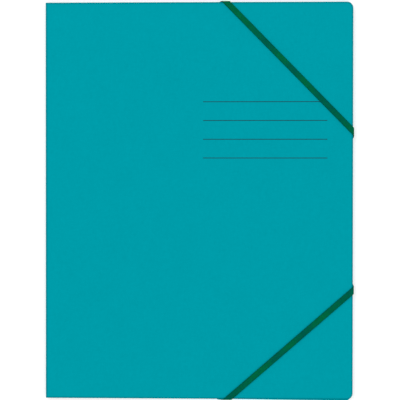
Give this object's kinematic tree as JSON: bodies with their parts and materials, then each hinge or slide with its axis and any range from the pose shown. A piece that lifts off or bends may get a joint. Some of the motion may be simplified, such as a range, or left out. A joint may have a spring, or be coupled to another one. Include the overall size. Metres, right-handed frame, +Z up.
{
  "type": "three flap folder",
  "caption": "Flat card folder with three inner flaps, a hinged front cover with printed writing lines, and flat elastic bands across its corners.",
  "frame": {"origin": "middle of the closed folder's underside, at the level of the surface it lies on", "axes": "+X from the spine towards the fore edge, +Y from the tail towards the head, +Z up out of the front cover"},
  "size_m": [0.249, 0.3222, 0.0058],
  "materials": {
    "board": "matte",
    "elastic": "matte",
    "clip_metal": "satin"
  },
  "bodies": {
    "back": {"back_with_flaps": "board", "upper_band": "elastic", "lower_band": "elastic", "upper_band_head_clip": "clip_metal", "upper_band_fore_clip": "clip_metal", "lower_band_tail_clip": "clip_metal", "lower_band_fore_clip": "clip_metal"},
    "cover": {"front_cover": "board"}
  },
  "joints": [
    {"name": "cover_hinge", "type": "hinge", "parent": "back", "child": "cover", "pos_m": [-0.1242, 0, 0.00465], "axis": [0, -1, 0], "range_deg": [0, 180]}
  ]
}
